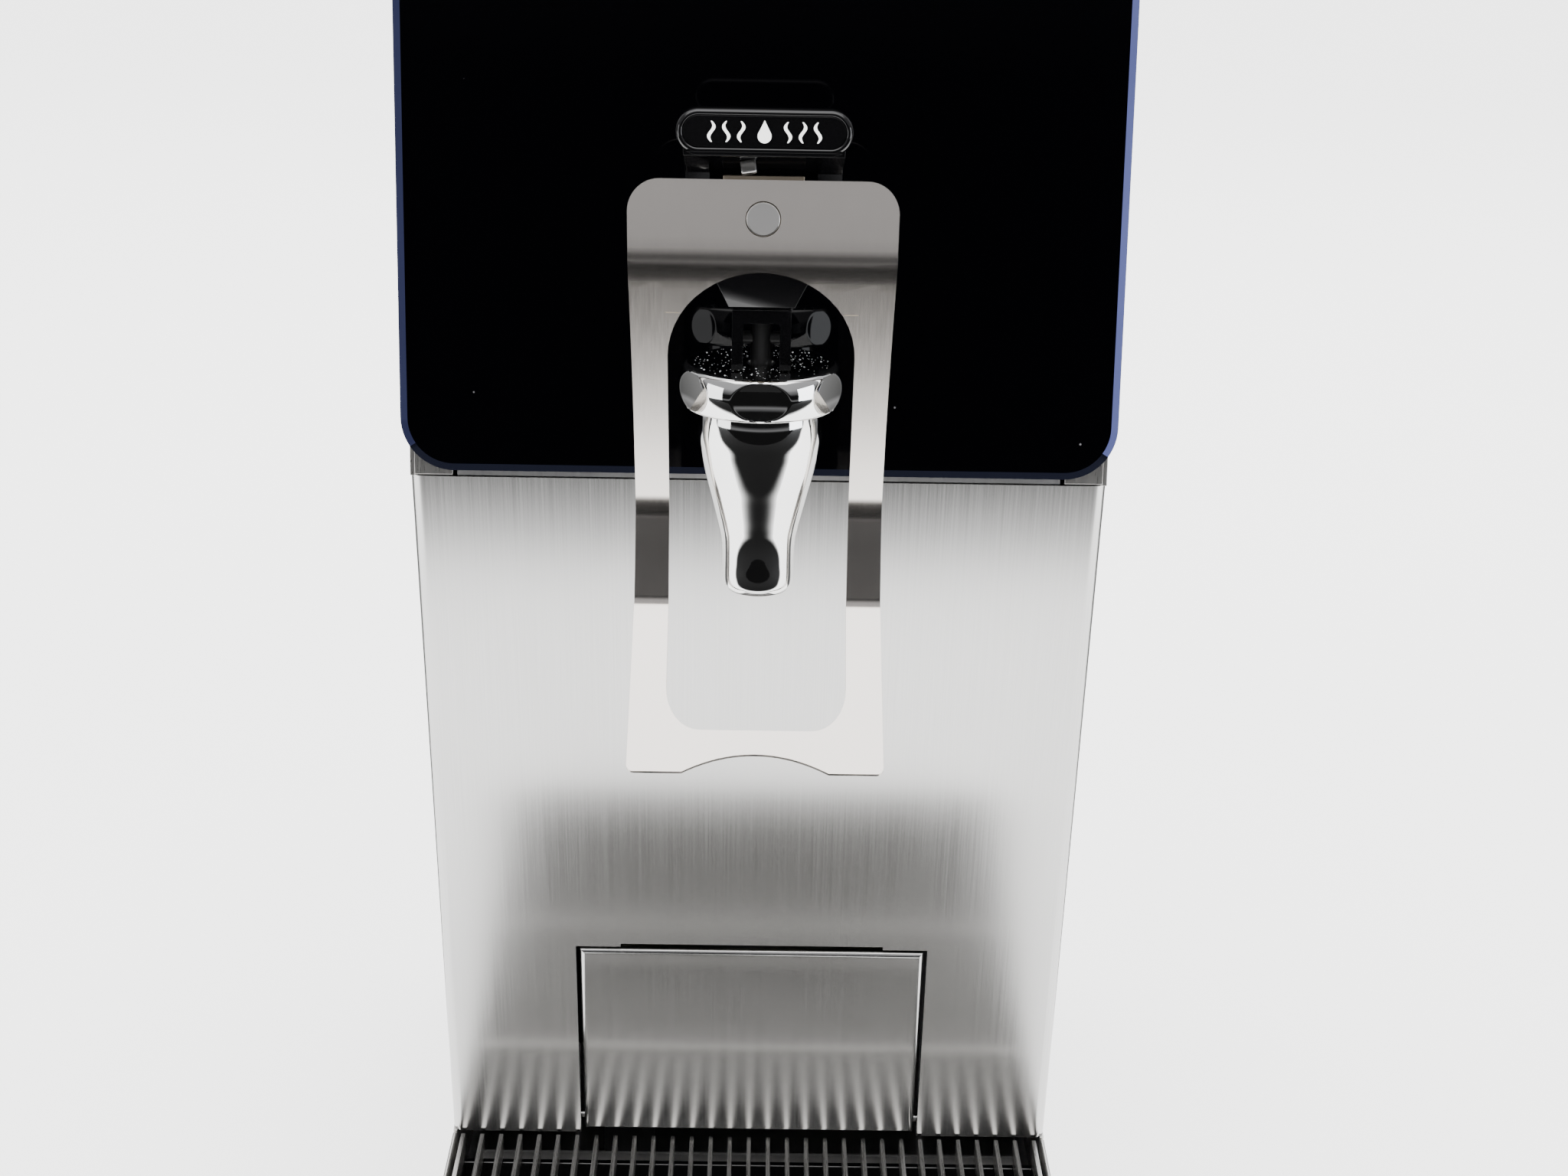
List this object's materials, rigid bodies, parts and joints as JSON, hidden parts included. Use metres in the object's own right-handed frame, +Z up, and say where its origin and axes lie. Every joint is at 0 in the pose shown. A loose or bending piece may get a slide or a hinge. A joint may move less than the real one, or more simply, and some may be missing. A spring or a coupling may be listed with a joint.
{
  "type": "countertop hot water dispenser",
  "caption": "Slim countertop hot water dispenser: brushed steel column with black glass front, chrome faucet with tilting handle and lever plate, slide-out drip tray.",
  "frame": {"origin": "on the ground, under the middle of the machine's box", "axes": "+Z up, the front with the faucet faces -Y, +X is to the right as seen from the front"},
  "size_m": [0.182, 0.366, 0.61],
  "materials": {
    "brushed_sheet": "vertical brushed grain",
    "inner_steel": "mill finish",
    "grille_steel": "satin",
    "black_glass": "polished, with bevelled edges",
    "faucet_chrome": "polished",
    "stud_steel": "satin",
    "bracket_steel": "satin",
    "handle_plastic": "glossy moulded",
    "label": "gloss, with a white pictogram",
    "light_lens": "clear lens",
    "foot_rubber": "matte",
    "rubber": "matte",
    "silicone": "satin",
    "foam": "felted",
    "heater_sheath": "dull",
    "brass": "satin",
    "black_matte": "fine texture",
    "white_plastic": "plain",
    "red_plastic": "gloss",
    "board": "plain"
  },
  "bodies": {
    "cabinet": {"base_chassis": "inner_steel", "side_panel_left": "brushed_sheet", "side_panel_right": "brushed_sheet", "back_panel": "brushed_sheet", "top_cover": "brushed_sheet", "front_frame": "inner_steel", "panel_backing": "black_matte", "glass_panel": "black_glass", "panel_studs": "stud_steel", "ready_light": "light_lens", "backsplash": "brushed_sheet", "faucet_body": "faucet_chrome", "faucet_bonnet": "faucet_chrome", "faucet_washer": "inner_steel", "faucet_nut": "inner_steel", "faucet_spring": "stud_steel", "tank": "inner_steel", "tank_gasket": "rubber", "tank_lid": "inner_steel", "tank_insulation": "foam", "tank_bracket": "inner_steel", "heating_element": "heater_sheath", "temperature_probe": "stud_steel", "level_probe": "stud_steel", "limit_thermostat": "black_matte", "fill_valve": "black_matte", "fill_tube": "silicone", "inlet_fitting": "brass", "outlet_tube": "silicone", "drain_tube": "silicone", "drain_valve": "brass", "thermostat": "black_matte", "control_board": "board", "terminal_block": "white_plastic", "power_inlet": "black_matte", "switch_housing": "black_matte", "cover_screws": "stud_steel"},
    "stem": {"faucet_stem": "black_matte", "seat_cup": "silicone"},
    "handle": {"handle": "handle_plastic", "handle_label": "label", "lever_bracket": "bracket_steel", "lever_plate": "brushed_sheet", "lever_stud": "stud_steel", "lever_nut": "stud_steel", "pivot_pin": "black_matte"},
    "tray": {"drip_tray": "brushed_sheet", "tray_liner": "black_matte"},
    "grille": {"drip_grille": "grille_steel"},
    "cover": {"access_cover": "brushed_sheet"},
    "rocker": {"power_rocker": "red_plastic"},
    "foot_fl": {"foot_front_left": "foot_rubber"},
    "foot_fr": {"foot_front_right": "foot_rubber"},
    "foot_rl": {"foot_rear_left": "foot_rubber"},
    "foot_rr": {"foot_rear_right": "foot_rubber"},
    "dial": {"thermostat_knob": "black_matte"},
    "drain_handle": {"drain_lever": "red_plastic"}
  },
  "joints": [
    {"name": "stem_lift", "type": "slide", "parent": "cabinet", "child": "stem", "axis": [0, 0, 1], "range_m": [0, 0.0011], "stiffness_N_per_m": 900, "springref_m": -0.004, "deforming": ["faucet_spring"]},
    {"name": "handle_tilt", "type": "hinge", "parent": "stem", "child": "handle", "pos_m": [0, -0.1437, 0.3239], "axis": [1, 0, 0], "range_deg": [0, 9], "stiffness_Nm_per_rad": 0.6, "springref_deg": -28.65},
    {"name": "tray_slide", "type": "slide", "parent": "cabinet", "child": "tray", "axis": [0, -1, 0], "range_m": [0, 0.15]},
    {"name": "grille_lift", "type": "slide", "parent": "tray", "child": "grille", "axis": [0, 0, 1], "range_m": [0, 0.004]},
    {"name": "cover_tilt", "type": "hinge", "parent": "cabinet", "child": "cover", "pos_m": [0, -0.03845, 0.05684], "axis": [1, 0, 0], "range_deg": [0, 30]},
    {"name": "rocker_press", "type": "hinge", "parent": "cabinet", "child": "rocker", "pos_m": [-0.012, 0.166, 0.062], "axis": [-1, 0, 0], "range_deg": [0, 20]},
    {"name": "dial_turn", "type": "hinge", "parent": "cabinet", "child": "dial", "pos_m": [-0.038, -0.028, 0.088], "axis": [0, -1, 0], "range_deg": [0, 270]},
    {"name": "drain_turn", "type": "hinge", "parent": "cabinet", "child": "drain_handle", "pos_m": [0, -0.029, 0.096], "axis": [0, 1, 0], "range_deg": [0, 90]},
    {"name": "foot_fl_turn", "type": "hinge", "parent": "cabinet", "child": "foot_fl", "pos_m": [-0.07, -0.159, 0.01], "axis": [0, 0, 1], "continuous": true},
    {"name": "foot_fr_turn", "type": "hinge", "parent": "cabinet", "child": "foot_fr", "pos_m": [0.07, -0.159, 0.01], "axis": [0, 0, 1], "continuous": true},
    {"name": "foot_rl_turn", "type": "hinge", "parent": "cabinet", "child": "foot_rl", "pos_m": [-0.07, 0.147, 0.01], "axis": [0, 0, 1], "continuous": true},
    {"name": "foot_rr_turn", "type": "hinge", "parent": "cabinet", "child": "foot_rr", "pos_m": [0.07, 0.147, 0.01], "axis": [0, 0, 1], "continuous": true}
  ],
  "couplings": [
    {"joint": "stem_lift", "follows": "handle_tilt", "m_per_rad": 0.0063}
  ]
}
